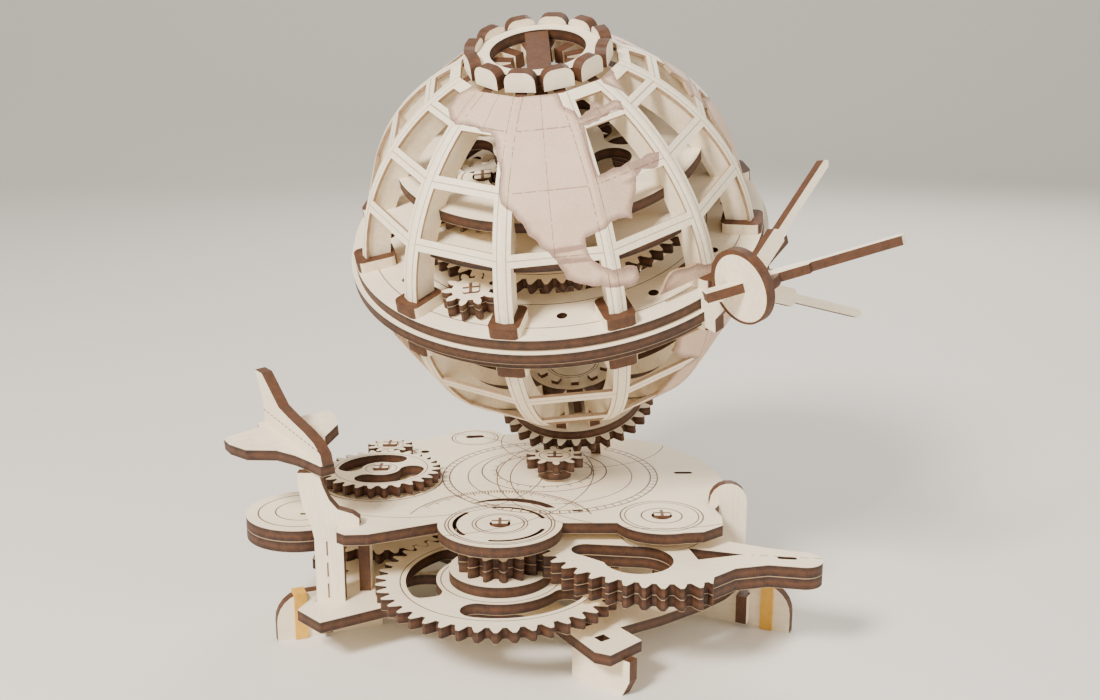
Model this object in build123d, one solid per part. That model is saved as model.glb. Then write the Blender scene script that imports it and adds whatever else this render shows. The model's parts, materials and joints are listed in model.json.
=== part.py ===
from build123d import *
from math import acos, atan2, cos, degrees, pi, radians, sin, tan
import os

# A hand-driven geared globe cut from thin plywood. X is to the right, Y to the back, Z up, in millimetres.
# Everything is drawn with the table top at Z 0 and is moved at the end, so that the origin lies under the
# middle of the whole object.

PLY = 3.6              # plywood thickness
AXLE_SIDE = 5.0        # square axle, its corners turned down to AXLE_R
AXLE_R = 3.2
BORE_R = 3.26          # running fit round the turned corners
PRESSURE_ANGLE = radians(25)

# Heights of the layers of the base
LOWER_Z = 11.4         # underside of the lower plate
LOWER_TOP = LOWER_Z + PLY
GEAR_Z = 18.6          # the big gear and what it drives
SPACER_Z = GEAR_Z + PLY
PINION_Z = SPACER_Z + PLY
LEVER_Z = PINION_Z + 0.4
DECK_Z = 36.4
DECK_TOP = DECK_Z + PLY
DECK_GEAR_Z = DECK_TOP + 0.6
DECK_PINION_Z = DECK_TOP + 4.4
DECK_PINION_T = PLY

# Gear sizes: module and teeth
MAIN_MODULE = 1.7
LEVER_TEETH = 46
MAIN_PINION_TEETH = 14
MAIN_GEAR_TEETH = 44
CENTRE_TEETH = 10
LEFT_LOWER_TEETH = 24
SIDE_MODULE = 1.4
LEFT_TEETH = 27
SMALL_TEETH = 10
GLOBE_MODULE = 1.75
DECK_PINION_TEETH = 10
GLOBE_TEETH = 30
INNER_MODULE = 1.5
SUN_TEETH = 60
PLANET_TEETH = 10
RING_TEETH = 80
UPPER_SUN_TEETH = 12
UPPER_TEETH = 24

# Places of the upright shafts
HUB = (-15.3, -45.6)


def along(point, angle, distance):
    """The point that lies at a distance from another, in the direction of an angle in degrees."""
    return (point[0] + distance * cos(radians(angle)), point[1] + distance * sin(radians(angle)))


HUB_TO_CENTRE = 68.2
HUB_TO_LEVER = 7.6
HUB_TO_LEFT = 136.1
LEFT_TO_SMALL = 90.0
CENTRE = along(HUB, HUB_TO_CENTRE, MAIN_MODULE * (MAIN_GEAR_TEETH + CENTRE_TEETH) / 2)
LEVER = along(HUB, HUB_TO_LEVER, MAIN_MODULE * (MAIN_PINION_TEETH + LEVER_TEETH) / 2)
LEFT = along(HUB, HUB_TO_LEFT, MAIN_MODULE * (MAIN_GEAR_TEETH + LEFT_LOWER_TEETH) / 2)
SMALL = along(LEFT, LEFT_TO_SMALL, SIDE_MODULE * (LEFT_TEETH + SMALL_TEETH) / 2)

# The globe's axis leans over by the tilt of the Earth, towards the front and a little to the left
TILT = 23.4
LEAN = 255.4           # direction of the lean in the ground plan, in degrees
SPHERE_R = 64.5
GEAR_BELOW = 72.0      # from the globe's centre down its axis to the middle of the globe gear
LEAN_X = cos(radians(LEAN))
LEAN_Y = sin(radians(LEAN))
AXIS = Vector(LEAN_X * sin(radians(TILT)), LEAN_Y * sin(radians(TILT)), cos(radians(TILT)))
DOWNHILL = Vector(LEAN_X * cos(radians(TILT)), LEAN_Y * cos(radians(TILT)), -sin(radians(TILT)))
PINION_PITCH = GLOBE_MODULE * DECK_PINION_TEETH / 2
GLOBE_PITCH = GLOBE_MODULE * GLOBE_TEETH / 2
MESH = Vector(CENTRE[0] - PINION_PITCH * LEAN_X, CENTRE[1] - PINION_PITCH * LEAN_Y,
              DECK_PINION_Z + DECK_PINION_T)
GLOBE_GEAR_AT = MESH - DOWNHILL * GLOBE_PITCH
GLOBE_AT = GLOBE_GEAR_AT + AXIS * GEAR_BELOW
FACING = Vector(0, -1, 0) - AXIS * Vector(0, -1, 0).dot(AXIS)
GLOBE = Plane(origin=GLOBE_AT, x_dir=FACING.normalized(), z_dir=AXIS).location

# Levels along the globe's axis, measured from its centre
RING_LOW = -PLY
UPPER_PLATE_Z = 0.3
UPPER_PLATE_TOP = UPPER_PLATE_Z + PLY
LOWER_PLATE_TOP = RING_LOW - 0.3
LOWER_PLATE_Z = LOWER_PLATE_TOP - PLY
SUN_Z = 6.0
BRIDGE_Z = 19.0
BRIDGE_R = 54.5
UPPER_GEAR_Z = BRIDGE_Z + PLY + 1.2
BRIDGE_TOP_Z = UPPER_GEAR_Z + PLY + 1.2
TOP_RING_Z = 59.8
HUB_PLATE_Z = -GEAR_BELOW + PLY / 2
CROWN_Z = -58.0
RIB_COUNT = 12
RIB_STEP = 360 / RIB_COUNT
FIRST_RIB = -16.1      # a rib's angle round the axis, from the front towards the right
SKIN = 1.0
RIB_R = SPHERE_R - SKIN - 0.62
RIB_DEPTH = 7.0
EDGE_BAND = 2.7        # width of a gore's frame beside each rib
BAR = 3.9              # width of its bars
LATITUDES = (23.3, 40.3, 56.8)
ORBIT_R = 68.3
PLATE_R = 66.8
LOWER_PLATE_R = 65.2
PLATE_IN = 43.0
PLANET_ORBIT = INNER_MODULE * (SUN_TEETH + PLANET_TEETH) / 2
PLANET_ANGLES = (FIRST_RIB - RIB_STEP / 2, FIRST_RIB - RIB_STEP / 2 + 180)
UPPER_ORBIT = INNER_MODULE * (UPPER_SUN_TEETH + UPPER_TEETH) / 2
UPPER_ANGLE = -50.0
POST_R = 3.2
SATELLITE_AT = (82.0, 38.0, 14.2)   # distance from the axis, angle round it, height above the equator
BALL_R = 11.2


# ---------------------------------------------------------------- helpers

def disc(radius, low, thickness, at=(0, 0)):
    return Pos(at[0], at[1], low + thickness / 2) * Cylinder(radius, thickness)


def ring(outer, inner, low, thickness, at=(0, 0)):
    return disc(outer, low, thickness, at) - disc(inner, low - 1, thickness + 2, at)


def plate(points, low, thickness):
    """A flat plate with straight edges through the points."""
    return Pos(0, 0, low) * extrude(make_face(Polyline(*points, close=True)), amount=thickness)


def upright(points, thickness, start, heading):
    """A plate that stands on edge. Its points are (distance along the heading, height)."""
    face = Plane.XZ * make_face(Polyline(*points, close=True))
    return Pos(start[0], start[1], 0) * Rot(0, 0, heading) * extrude(face, amount=thickness / 2, both=True)


def slot(length, width, low, thickness, at, heading=0):
    """A long hole with round ends, as a solid to cut with."""
    shape = extrude(SlotOverall(length, width), amount=thickness)
    return Pos(at[0], at[1], low) * Rot(0, 0, heading) * shape


def arc_slot(inner, outer, start, sweep, low, thickness, at=(0, 0)):
    """A curved slot round a centre, as a solid to cut with."""
    middle = (inner + outer) / 2
    half = (outer - inner) / 2
    blank = ring(outer, inner, low, thickness)
    reach = outer * 1.6
    steps = max(2, int(sweep / 30) + 1)
    fan = [along((0, 0), start + sweep * i / steps, reach) for i in range(steps + 1)]
    wedge = plate([(0, 0)] + fan, low - 1, thickness + 2)
    ends = [disc(half, low, thickness, along((0, 0), a, middle)) for a in (start, start + sweep)]
    return Pos(at[0], at[1], 0) * ((blank & wedge) + ends)


def axle_section():
    return Rectangle(AXLE_SIDE, AXLE_SIDE) & Circle(AXLE_R)


def axle(low, high, at=(0, 0), turn=0.0):
    return Pos(at[0], at[1], low) * Rot(0, 0, turn) * extrude(axle_section(), amount=high - low)


def gear_points(teeth, module, addendum=0.85, dedendum=1.1, backlash=0.22, phase=0.0):
    """The outline of an involute gear with a tooth centred on the phase angle, in degrees."""
    pitch = module * teeth / 2
    base = pitch * cos(PRESSURE_ANGLE)
    tip = pitch + addendum * module
    root = pitch - dedendum * module
    start = tan(PRESSURE_ANGLE) - PRESSURE_ANGLE
    half_at_pitch = pi / (2 * teeth) - backlash / (2 * pitch)

    def half_width(radius):
        angle = acos(min(1.0, base / radius))
        return half_at_pitch + start - (tan(angle) - angle)

    low = max(root, base)
    radii = [low + (tip - low) * i / 3 for i in range(4)]
    if root < base:
        radii = [root] + radii
    points = []
    for tooth in range(teeth):
        middle = radians(phase) + 2 * pi * tooth / teeth
        left = [(r, middle - half_width(max(r, base))) for r in radii]
        right = [(r, middle + half_width(max(r, base))) for r in reversed(radii)]
        points += [(r * cos(a), r * sin(a)) for r, a in left + right]
    return points


def gear_blank(teeth, module, low, thickness, at=(0, 0), phase=0.0, **shape):
    face = make_face(Polyline(*gear_points(teeth, module, phase=phase, **shape), close=True))
    return Pos(at[0], at[1], low) * extrude(face, amount=thickness)


def mating_phase(teeth, module_angle, other_teeth, other_phase):
    """The phase of an outside gear that meshes with another one lying at an angle behind it.

    module_angle is the direction from the other gear's centre to this one's.
    """
    offset = ((module_angle - other_phase) * other_teeth / 360) % 1
    return module_angle + 180 - 360 / teeth * (0.5 - offset)


def around(shape, count, start=0.0):
    """Copies of a shape turned evenly round the Z axis."""
    return [Rot(0, 0, start + i * 360 / count) * shape for i in range(count)]


def on_globe(shape):
    return GLOBE * shape


# ---------------------------------------------------------------- gear phases

LEVER_PHASE = 0.0
MAIN_PINION_PHASE = mating_phase(MAIN_PINION_TEETH, HUB_TO_LEVER + 180, LEVER_TEETH, LEVER_PHASE)
MAIN_PHASE = 0.0
CENTRE_PHASE = mating_phase(CENTRE_TEETH, HUB_TO_CENTRE, MAIN_GEAR_TEETH, MAIN_PHASE)
LEFT_LOWER_PHASE = mating_phase(LEFT_LOWER_TEETH, HUB_TO_LEFT, MAIN_GEAR_TEETH, MAIN_PHASE)
LEFT_PHASE = 0.0
SMALL_PHASE = mating_phase(SMALL_TEETH, LEFT_TO_SMALL, LEFT_TEETH, LEFT_PHASE)
SUN_PHASE = 0.0
PLANET_PHASES = [mating_phase(PLANET_TEETH, a, SUN_TEETH, SUN_PHASE) for a in PLANET_ANGLES]
RING_PHASE = PLANET_ANGLES[0] - (PLANET_ANGLES[0] - PLANET_PHASES[0]) * PLANET_TEETH / RING_TEETH
UPPER_PHASE = mating_phase(UPPER_TEETH, UPPER_ANGLE, UPPER_SUN_TEETH, 0.0)
# The tilted pair meets where the globe gear is lowest: a pinion gap there, and a tooth of the globe gear
DECK_PINION_PHASE = LEAN + 180 + 180 / DECK_PINION_TEETH


def angle_round_axis(direction):
    """The angle of a direction round the globe's axis, from the front towards the right."""
    side = AXIS.cross(FACING.normalized())
    return degrees(atan2(direction.dot(side), direction.dot(FACING.normalized())))


GLOBE_GEAR_PHASE = angle_round_axis(DOWNHILL)


# ---------------------------------------------------------------- base

LEFT_LEG_AT = (-72.5, -46.0)
RIGHT_LEG_AT = (51.5, -27.0)
LEG_T = PLY


def lower_plate():
    outline = [(-69, -63), (-77.5, -54), (-72, -38), (-66, -24), (-80, -14), (-80, 6), (-66, 22), (-62, 34),
               (-44, 36), (-20, 46), (14, 50), (36, 42), (54, 20), (61, -8), (62, -30), (56, -39), (47, -48),
               (34, -58), (21, -66), (27, -74.5), (17.5, -84), (13, -82), (0, -60), (-14, -56), (-34, -56),
               (-51, -52)]
    body = plate(outline, LOWER_Z, PLY)
    for shaft in (HUB, CENTRE, LEFT, LEVER):
        body -= disc(BORE_R, LOWER_Z - 1, PLY + 2, shaft)
    body -= plate([(-73, -48), (-66, -44), (-71, -39)], LOWER_Z - 1, PLY + 2)
    for window in ((-40, -36), (-42, -16), (24, -14), (10, -44)):
        body -= disc(9, LOWER_Z - 1, PLY + 2, window)
    for hole in ((10.5, -63.5), (15.5, -73)):
        body -= Pos(hole[0], hole[1], LOWER_Z) * Rot(0, 0, 35) * Box(3.6, 3.6, 4 * PLY)
    return body


def foot_points(length):
    """A foot that stands on edge, with its outer top corner rounded off."""
    rounding = [(length - 9 + 9 * sin(radians(a)), 6.4 + 9 * cos(radians(a)))
                for a in (0, 15, 30, 45, 60, 75, 90)]
    return [(0, 0), (length, 0)] + rounding[::-1] + [(length - 14, 15.4), (length - 14, LOWER_Z), (0, LOWER_Z)]


# Each side foot starts under the plate and points outwards: start and heading
SIDE_FEET = (((47, -23), -25.8), ((-55, -31), 202))
BAND_AT = 26.5         # from the start of a foot to its rubber band
CLIP_AT = 19.0


def side_foot(start, heading):
    return upright(foot_points(34), PLY, start, heading) - lower_plate() - band_loop(start, heading)


def foot_front():
    points = [(0, 0), (19, 0), (21.5, 5), (21.5, LOWER_Z), (0, LOWER_Z)]
    return upright(points, PLY, (8, -66), -41)


def foot_clip(start, heading):
    """A short cross piece that locks a side foot under its arm, slotted down over it."""
    block = Pos(CLIP_AT, 0, (2 + LOWER_Z) / 2) * Box(PLY, 11, LOWER_Z - 2)
    slotted = block - Pos(CLIP_AT, 0, 0) * Box(PLY + 1, PLY, 9)
    return Pos(start[0], start[1], 0) * Rot(0, 0, heading) * slotted


def band_loop(start, heading):
    """A flat rubber band round a foot, as a closed strap."""
    outer = Pos(BAND_AT, 0, 7.8) * Box(4.0, PLY + 1.8, 15.4)
    inner = Pos(BAND_AT, 0, 7.8) * Box(6.0, PLY, 13.8)
    return Pos(start[0], start[1], 0) * Rot(0, 0, heading) * (outer - inner)


def left_leg_points():
    """The leg's outline, seen from the front: a tall foot, a hook over the deck and an arm that leans out."""
    return [(0, LOWER_TOP), (8.8, LOWER_TOP), (8.8, DECK_Z), (7.6, DECK_Z), (7.6, DECK_TOP), (14, DECK_TOP),
            (14, 42.5), (12, 44.0), (7.5, 45.4), (5.0, 48.5), (3.2, 53), (2.2, 57.2), (-4.4, 57.2),
            (-4.2, 52), (-3.0, 46), (-0.8, 40), (0, 36)]


def left_leg():
    return upright(left_leg_points(), LEG_T, LEFT_LEG_AT, 0)


def right_leg():
    rounding = [(6 + 6 * cos(radians(a)), 41 + 6 * sin(radians(a))) for a in range(0, 181, 20)]
    return upright([(0, LOWER_TOP), (12, LOWER_TOP)] + rounding, LEG_T, RIGHT_LEG_AT, 0)


BRACES = ((-58.5, -37), (-36, 42), (40, 33), (-50, 31))


def brace_posts():
    return [Pos(x, y, (LOWER_TOP + DECK_Z) / 2) * Box(PLY, PLY * 1.6, DECK_Z - LOWER_TOP) for x, y in BRACES]


def deck_plate():
    main = disc(56.5, DECK_Z, PLY, (2, -8)) & (Pos(0, 20, DECK_Z) * Box(200, 130, 4 * PLY))
    body = main + disc(22.5, DECK_Z, PLY, LEFT) + disc(11, DECK_Z, PLY, (-28, 42))
    body += disc(19.3, DECK_Z, PLY, HUB) + disc(15.5, DECK_Z, PLY, LEVER)
    body += plate([(-76, 6), (-64, 22), (-56, 33), (-38, 46), (0, 30), (0, -30), (-20, -45), (-35, -45),
                   (-55, -54.5), (-62, -55), (-64.9, -52.6), (-64.9, -46), (-78, -14)], DECK_Z, PLY)
    body += plate([(35, -54), (47, -52.5), (53.5, -47), (54, -40), (50, -20), (30, -20)], DECK_Z, PLY)
    crescent = disc(17, DECK_Z - 1, PLY + 2, (-13, -40)) - disc(19.8, DECK_Z - 2, PLY + 4, HUB)
    body -= crescent & (Pos(-13, -20, DECK_Z) * Box(40, 24, 4 * PLY))
    for start in (20, 140, 260):
        body -= arc_slot(13.4, 14.8, start, 80, DECK_Z - 1, PLY + 2, HUB)
    for shaft in (HUB, CENTRE, LEFT, LEVER, SMALL):
        body -= disc(BORE_R, DECK_Z - 1, PLY + 2, shaft)
    body -= slot(6.4, 2.2, DECK_Z - 1, PLY + 2, (46, 2))
    body -= disc(1.6, DECK_Z - 1, PLY + 2, (-45, 25))
    body -= slot(3.6, 1.6, DECK_Z - 1, PLY + 2, (9, -34.5))
    body -= slot(7, 3.2, DECK_Z - 1, PLY + 2, (-28, 43), 10)
    body -= right_leg()
    return body - left_leg()


PAD_AT = (-80.0, -24.5)


def side_pad():
    """Two round plates, one on the other, beside the deck. The deck's edge is cut out of both."""
    low = DECK_Z - 2 * PLY
    plies = []
    for level in (low, low + PLY):
        ply = disc(18.4, level, PLY, PAD_AT)
        for side in (-3.4, 3.4):
            ply -= slot(5.4, 1.6, level - 1, PLY + 2, (PAD_AT[0] + 2.0, PAD_AT[1] + side), 0)
        plies.append(ply - left_leg())
    return plies


# ---------------------------------------------------------------- lever and base gears

HANDLE_AT = (41.0, -19.5)


def lever_ply(low):
    toothed = gear_blank(LEVER_TEETH, MAIN_MODULE, low, PLY, phase=LEVER_PHASE)
    fan = [along((0, 0), a, 46) for a in range(178, 284, 15)]
    sector = toothed & plate([(6, 9)] + fan + [(14, -26)], low - 1, PLY + 2)
    body = sector + disc(14.5, low, PLY)
    body += plate([(-8, 12), (12, 8), (21, -5.4), (31, -10), (HANDLE_AT[0], -13.5), (HANDLE_AT[0], -25.5),
                   (30, -23.5), (20, -26), (12, -33), (7.6, -38.2), (-4, -30), (-24, -12)], low, PLY)
    body += disc(6, low, PLY, HANDLE_AT)
    pear = [disc(10.6, low - 1, PLY + 2, (-8.5, -19.6)), disc(4.6, low - 1, PLY + 2, (-24, -11.6)),
            plate([(-23.6, -7.0), (-8.5, -9.0), (-8.5, -30.2), (-25.6, -15.9)], low - 1, PLY + 2)]
    body -= pear
    body -= plate([(7.5, -10.5), (24, -15.5), (9.5, -19.5)], low - 1, PLY + 2)
    body -= slot(6, 2, low - 1, PLY + 2, (36.5, -18.3), -8)
    body -= axle(low - 1, low + PLY + 1)
    return Pos(LEVER[0], LEVER[1], 0) * body


def main_gear():
    body = gear_blank(MAIN_GEAR_TEETH, MAIN_MODULE, GEAR_Z, PLY, phase=MAIN_PHASE)
    for start in (15, 135, 255):
        body -= arc_slot(20, 29.5, start, 72, GEAR_Z - 1, PLY + 2)
    body -= axle(GEAR_Z - 1, GEAR_Z + PLY + 1)
    return Pos(HUB[0], HUB[1], 0) * body


def main_spacer():
    body = disc(16, SPACER_Z, PLY) - axle(SPACER_Z - 1, SPACER_Z + PLY + 1)
    return Pos(HUB[0], HUB[1], 0) * body


def keyed_gear(teeth, module, low, thickness, at, phase, **shape):
    """A solid gear with a square hole for its axle."""
    body = gear_blank(teeth, module, low, thickness, phase=phase, **shape)
    body -= axle(low - 1, low + thickness + 1)
    return Pos(at[0], at[1], 0) * body


TILTED_TOOTH = {"addendum": 0.62, "dedendum": 1.25, "backlash": 0.7}


def deck_pinion():
    """The pinion that drives the globe, and the round washer that lifts it off the deck."""
    low = DECK_TOP + 0.8
    washer = disc(5.6, low, DECK_PINION_Z - low) - axle(low - 1, DECK_PINION_Z + 1)
    pinion = keyed_gear(DECK_PINION_TEETH, GLOBE_MODULE, DECK_PINION_Z, DECK_PINION_T, CENTRE,
                        DECK_PINION_PHASE, **TILTED_TOOTH)
    return [pinion, Pos(CENTRE[0], CENTRE[1], 0) * washer]


def left_gear():
    body = gear_blank(LEFT_TEETH, SIDE_MODULE, DECK_GEAR_Z, PLY, phase=LEFT_PHASE)
    for start in (70, 250):
        body -= arc_slot(6.5, 14.6, start, 105, DECK_GEAR_Z - 1, PLY + 2)
    body -= axle(DECK_GEAR_Z - 1, DECK_GEAR_Z + PLY + 1)
    return Pos(LEFT[0], LEFT[1], 0) * body


# ---------------------------------------------------------------- tilted stand and post

STAND_HALF = 13.0


def bearing_low():
    """Underside of the bearing plate, which lies two thirds of a ply below the globe gear."""
    return HUB_PLATE_Z - PLY - 2 * PLY / 3 - PLY


def tilt_bearing_plate():
    low = bearing_low()
    return disc(14, low, PLY) - disc(POST_R, low - 1, PLY + 2)


def tilt_brackets():
    """Two wedge frames that stand on the deck and carry the bearing plate square to the axis."""
    frames = []
    for side in (-1, 1):
        slab = Pos(0, side * 8, bearing_low() - 15) * Box(2 * STAND_HALF - 4, PLY, 30)
        frames.append(slab)
    turn = angle_round_axis(DOWNHILL)
    placed = [on_globe(Rot(0, 0, turn) * f) for f in frames]
    above_deck = Pos(0, 0, DECK_TOP + 25) * Box(400, 400, 50)
    return [f & above_deck for f in placed]


def axis_post():
    low = bearing_low()
    return disc(POST_R, low, 44.6 - low)


# ---------------------------------------------------------------- globe

def globe_gear():
    low = HUB_PLATE_Z - PLY
    body = gear_blank(GLOBE_TEETH, GLOBE_MODULE, low, PLY, phase=GLOBE_GEAR_PHASE, **TILTED_TOOTH)
    for start in (10, 100, 190, 280):
        body -= arc_slot(12, 19, start, 50, low - 1, PLY + 2)
    return body - disc(POST_R + 0.06, low - 1, PLY + 2)


def south_hub():
    return ring(24, POST_R + 0.06, HUB_PLATE_Z, PLY)


def crown_pegs():
    top = CROWN_Z + PLY + 1.4
    low = HUB_PLATE_Z + PLY
    peg = Pos(12.6, 0, (low + top) / 2) * Box(2.6, 2.6, top - low)
    return around(peg, 12)


def crown_wheel():
    body = ring(16, POST_R + 0.06, CROWN_Z, PLY)
    return body - crown_pegs()


def pole_plates():
    """Two plates side by side that stand across the top ring's hole, over the end of the post."""
    low = 45.0
    top = TOP_RING_Z + PLY - 0.3
    return [Pos(0, side * PLY / 2, (low + top) / 2) * Box(28.0, PLY, top - low) for side in (-1, 1)]


def rib_blank():
    """A flat crescent that stands in the XZ plane, on the sphere's inside."""
    face = Circle(RIB_R) - Circle(RIB_R - RIB_DEPTH)
    return extrude(Plane.XZ * face, amount=PLY / 2, both=True)


def band_box(inner, low, high, width=PLY):
    """A box from a distance off the axis outwards, between two heights."""
    outer = 80
    return Pos((inner + outer) / 2, 0, (low + high) / 2) * Box(outer - inner, width, high - low)


def foot_block(low, high, inner, outer, width=PLY):
    return Pos((inner + outer) / 2, 0, (low + high) / 2) * Box(outer - inner, width, high - low)


def rib_shoe(low, outer):
    """A small flat clip with rounded corners that holds a rib's end on an equator plate."""
    shape = extrude(RectangleRounded(outer - 54, 9.6, 2.2), amount=PLY)
    return Pos((54 + outer) / 2, 0, low) * shape


def north_rib():
    arch = rib_blank() & band_box(8.4, UPPER_PLATE_TOP, TOP_RING_Z)
    return arch + rib_shoe(UPPER_PLATE_TOP, PLATE_R - 0.2)


def north_ribs():
    middle = Pos(0, 0, 50) * Box(28.0, 2 * PLY, 30)
    return [r - bridge_lower() - bridge_upper() - middle for r in around(north_rib(), RIB_COUNT, FIRST_RIB)]


def south_rib():
    arch = rib_blank() & band_box(17.5, HUB_PLATE_Z + PLY, LOWER_PLATE_Z)
    heel = foot_block(HUB_PLATE_Z + PLY, -56.5, 17.5, 22.5)
    return arch + rib_shoe(LOWER_PLATE_Z - PLY, LOWER_PLATE_R - 0.2) + heel


def wedge(half_angle, apex, low, high):
    """A three-cornered prism that opens along X from its apex."""
    reach = 90
    half = (reach - apex) * tan(radians(half_angle))
    return plate([(apex, 0), (reach, -half), (reach, half)], low, high - low)


def level_of(latitude):
    return SPHERE_R * sin(radians(latitude))


def gore_levels(bottom, top):
    """The heights between which each window of a gore lies, from the equator to the pole."""
    edges = []
    low = bottom - 1
    for latitude in LATITUDES:
        half_bar = BAR / 2 * cos(radians(latitude))
        edges.append((low, level_of(latitude) - half_bar))
        low = level_of(latitude) + half_bar
    return edges + [(low, top - 1.6)]


def gore(bottom, top, windows):
    """One thin sheet, bent along the meridian only, with a frame, bars and the named windows cut out."""
    across = cos(radians(RIB_STEP / 2))
    face = Ellipse(SPHERE_R * across, SPHERE_R) - Ellipse(SPHERE_R * across - SKIN, SPHERE_R - SKIN)
    sheet = extrude(Plane.XZ * face, amount=22, both=True)
    body = sheet & wedge(RIB_STEP / 2, 0, bottom, top)
    apex = EDGE_BAND / sin(radians(RIB_STEP / 2))
    levels = gore_levels(bottom, top)
    for index in windows:
        low, high = levels[index]
        body -= wedge(RIB_STEP / 2, apex, low, high)
    return body


OPEN = (0, 1, 2, 3)
# Which windows of each gore are open; the others are closed by land. The first gore faces the front.
NORTH_WINDOWS = ((0,), (0, 2, 3), OPEN, (0, 1, 2), (0, 1), (0,), (0, 1), (0, 1), (0, 1, 2), OPEN, OPEN, (0, 1))
SOUTH_WINDOWS = (OPEN, (1, 2, 3), (2, 3), OPEN, (2, 3), OPEN, OPEN, (1, 2, 3), OPEN, OPEN, OPEN, OPEN)


def gore_kinds(bottom, top, patterns):
    """Gores all round the globe; each pattern is cut once and copied."""
    made = {p: gore(bottom, top, p) for p in set(patterns)}
    first = FIRST_RIB + RIB_STEP / 2
    return [Rot(0, 0, first + i * RIB_STEP) * made[p] for i, p in enumerate(patterns)]


def north_gores():
    return gore_kinds(UPPER_PLATE_TOP + PLY + 0.1, TOP_RING_Z - 0.2, NORTH_WINDOWS)


def south_gores():
    return [g.mirror(Plane.XY) for g in gore_kinds(-LOWER_PLATE_Z + PLY + 0.1, 58.8, SOUTH_WINDOWS)]


def planet_bores(low):
    return [disc(BORE_R, low - 1, PLY + 2, along((0, 0), a, PLANET_ORBIT)) for a in PLANET_ANGLES]


def equator_upper_plate():
    body = ring(PLATE_R, PLATE_IN, UPPER_PLATE_Z, PLY) - planet_bores(UPPER_PLATE_Z)
    for i in range(RIB_COUNT):
        angle = FIRST_RIB + RIB_STEP * (i + 0.5)
        if min(abs((angle - p + 180) % 360 - 180) for p in PLANET_ANGLES) > 5:
            body -= disc(1.6, UPPER_PLATE_Z - 1, PLY + 2, along((0, 0), angle, 55))
    return body


def equator_lower_plate():
    return ring(LOWER_PLATE_R, PLATE_IN, LOWER_PLATE_Z, PLY) - planet_bores(LOWER_PLATE_Z)


def equator_spacers():
    """Two arcs that hold the equator plates apart inside the orbit ring."""
    thickness = UPPER_PLATE_Z - LOWER_PLATE_TOP
    blank = ring(57.9, PLATE_IN, LOWER_PLATE_TOP, thickness)
    for a in PLANET_ANGLES:
        blank -= disc(11, LOWER_PLATE_TOP - 1, thickness + 2, along((0, 0), a, PLANET_ORBIT))
    for a in PLANET_ANGLES:
        blank -= Rot(0, 0, a) * (Pos(50, 0, -2) * Box(30, 20, 10))
    return blank.solids()


def orbit_ring():
    cutter = gear_blank(RING_TEETH, INNER_MODULE, RING_LOW - 1, PLY + 2, phase=RING_PHASE,
                        addendum=1.1, dedendum=0.85, backlash=-0.22)
    return disc(ORBIT_R, RING_LOW, PLY) - cutter


def great_gear():
    body = gear_blank(SUN_TEETH, INNER_MODULE, SUN_Z, PLY, phase=SUN_PHASE)
    for start in range(8, 368, 60):
        body -= arc_slot(25, 38, start + 6, 32, SUN_Z - 1, PLY + 2)
    for start in range(8, 368, 120):
        body -= arc_slot(9, 17, start + 20, 60, SUN_Z - 1, PLY + 2)
    return body - disc(POST_R, SUN_Z - 1, PLY + 2)


def upper_sun_pinion():
    low = UPPER_GEAR_Z
    return gear_blank(UPPER_SUN_TEETH, INNER_MODULE, low, PLY) - disc(POST_R, low - 1, PLY + 2)


def bridge(low, reach):
    """A round bridge plate that turns on the post, with a bearing for the upper gear's axle."""
    body = ring(reach, POST_R + 0.06, low, PLY)
    at = along((0, 0), UPPER_ANGLE, UPPER_ORBIT)
    body -= disc(BORE_R, low - 1, PLY + 2, at)
    for i in range(6):
        centre = UPPER_ANGLE + 30 + i * 60
        body -= arc_slot(reach * 0.36, reach * 0.62, centre - 12, 24, low - 1, PLY + 2)
    return body


def bridge_lower():
    return bridge(BRIDGE_Z, BRIDGE_R)


def bridge_upper():
    return bridge(BRIDGE_TOP_Z, BRIDGE_R - 6)


def upper_gear():
    body = gear_blank(UPPER_TEETH, INNER_MODULE, UPPER_GEAR_Z, PLY, phase=UPPER_PHASE)
    for start in (20, 140, 260):
        body -= arc_slot(7, 13, start, 65, UPPER_GEAR_Z - 1, PLY + 2)
    body -= axle(UPPER_GEAR_Z - 1, UPPER_GEAR_Z + PLY + 1)
    at = along((0, 0), UPPER_ANGLE, UPPER_ORBIT)
    return Pos(at[0], at[1], 0) * body


PETAL_R = 18.4         # the top ring's rim, where the petals stand
PETAL_TOP = 65.8


def top_ring():
    return ring(PETAL_R, 14.6, TOP_RING_Z, PLY)


def top_petals():
    """Upright keystones with rounded top corners, one over each rib, round the top ring."""
    half = 4.6
    corner = 3.0
    low = TOP_RING_Z
    right = [(half - corner + corner * sin(radians(a)), PETAL_TOP - corner + corner * cos(radians(a)))
             for a in (90, 70, 50, 30, 10, 0)]
    left = [(-x, z) for x, z in reversed(right)]
    face = Plane.YZ * make_face(Polyline((-half, low), (half, low), *right, *left, close=True))
    petal = extrude(face, amount=PLY)
    return around(Pos(PETAL_R, 0, 0) * petal, RIB_COUNT, FIRST_RIB)


def planet_parts(index):
    at = along((0, 0), PLANET_ANGLES[index], PLANET_ORBIT)
    phase = PLANET_PHASES[index]
    ring_pinion = keyed_gear(PLANET_TEETH, INNER_MODULE, RING_LOW + 0.1, PLY - 0.2, at, phase)
    sun_pinion = keyed_gear(PLANET_TEETH, INNER_MODULE, UPPER_PLATE_TOP + 0.4, 1.6 * PLY, at, phase)
    return axle(LOWER_PLATE_Z + 0.2, UPPER_PLATE_TOP + 0.4 + 1.6 * PLY + 0.6, at), ring_pinion, sun_pinion


# ---------------------------------------------------------------- satellite and shuttle

ANTENNA = 48.0         # from the ball's middle to a whip's tip
SWEEP = 30.0
WHIP = 2.6
SATELLITE_PLY = 2.8


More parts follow.
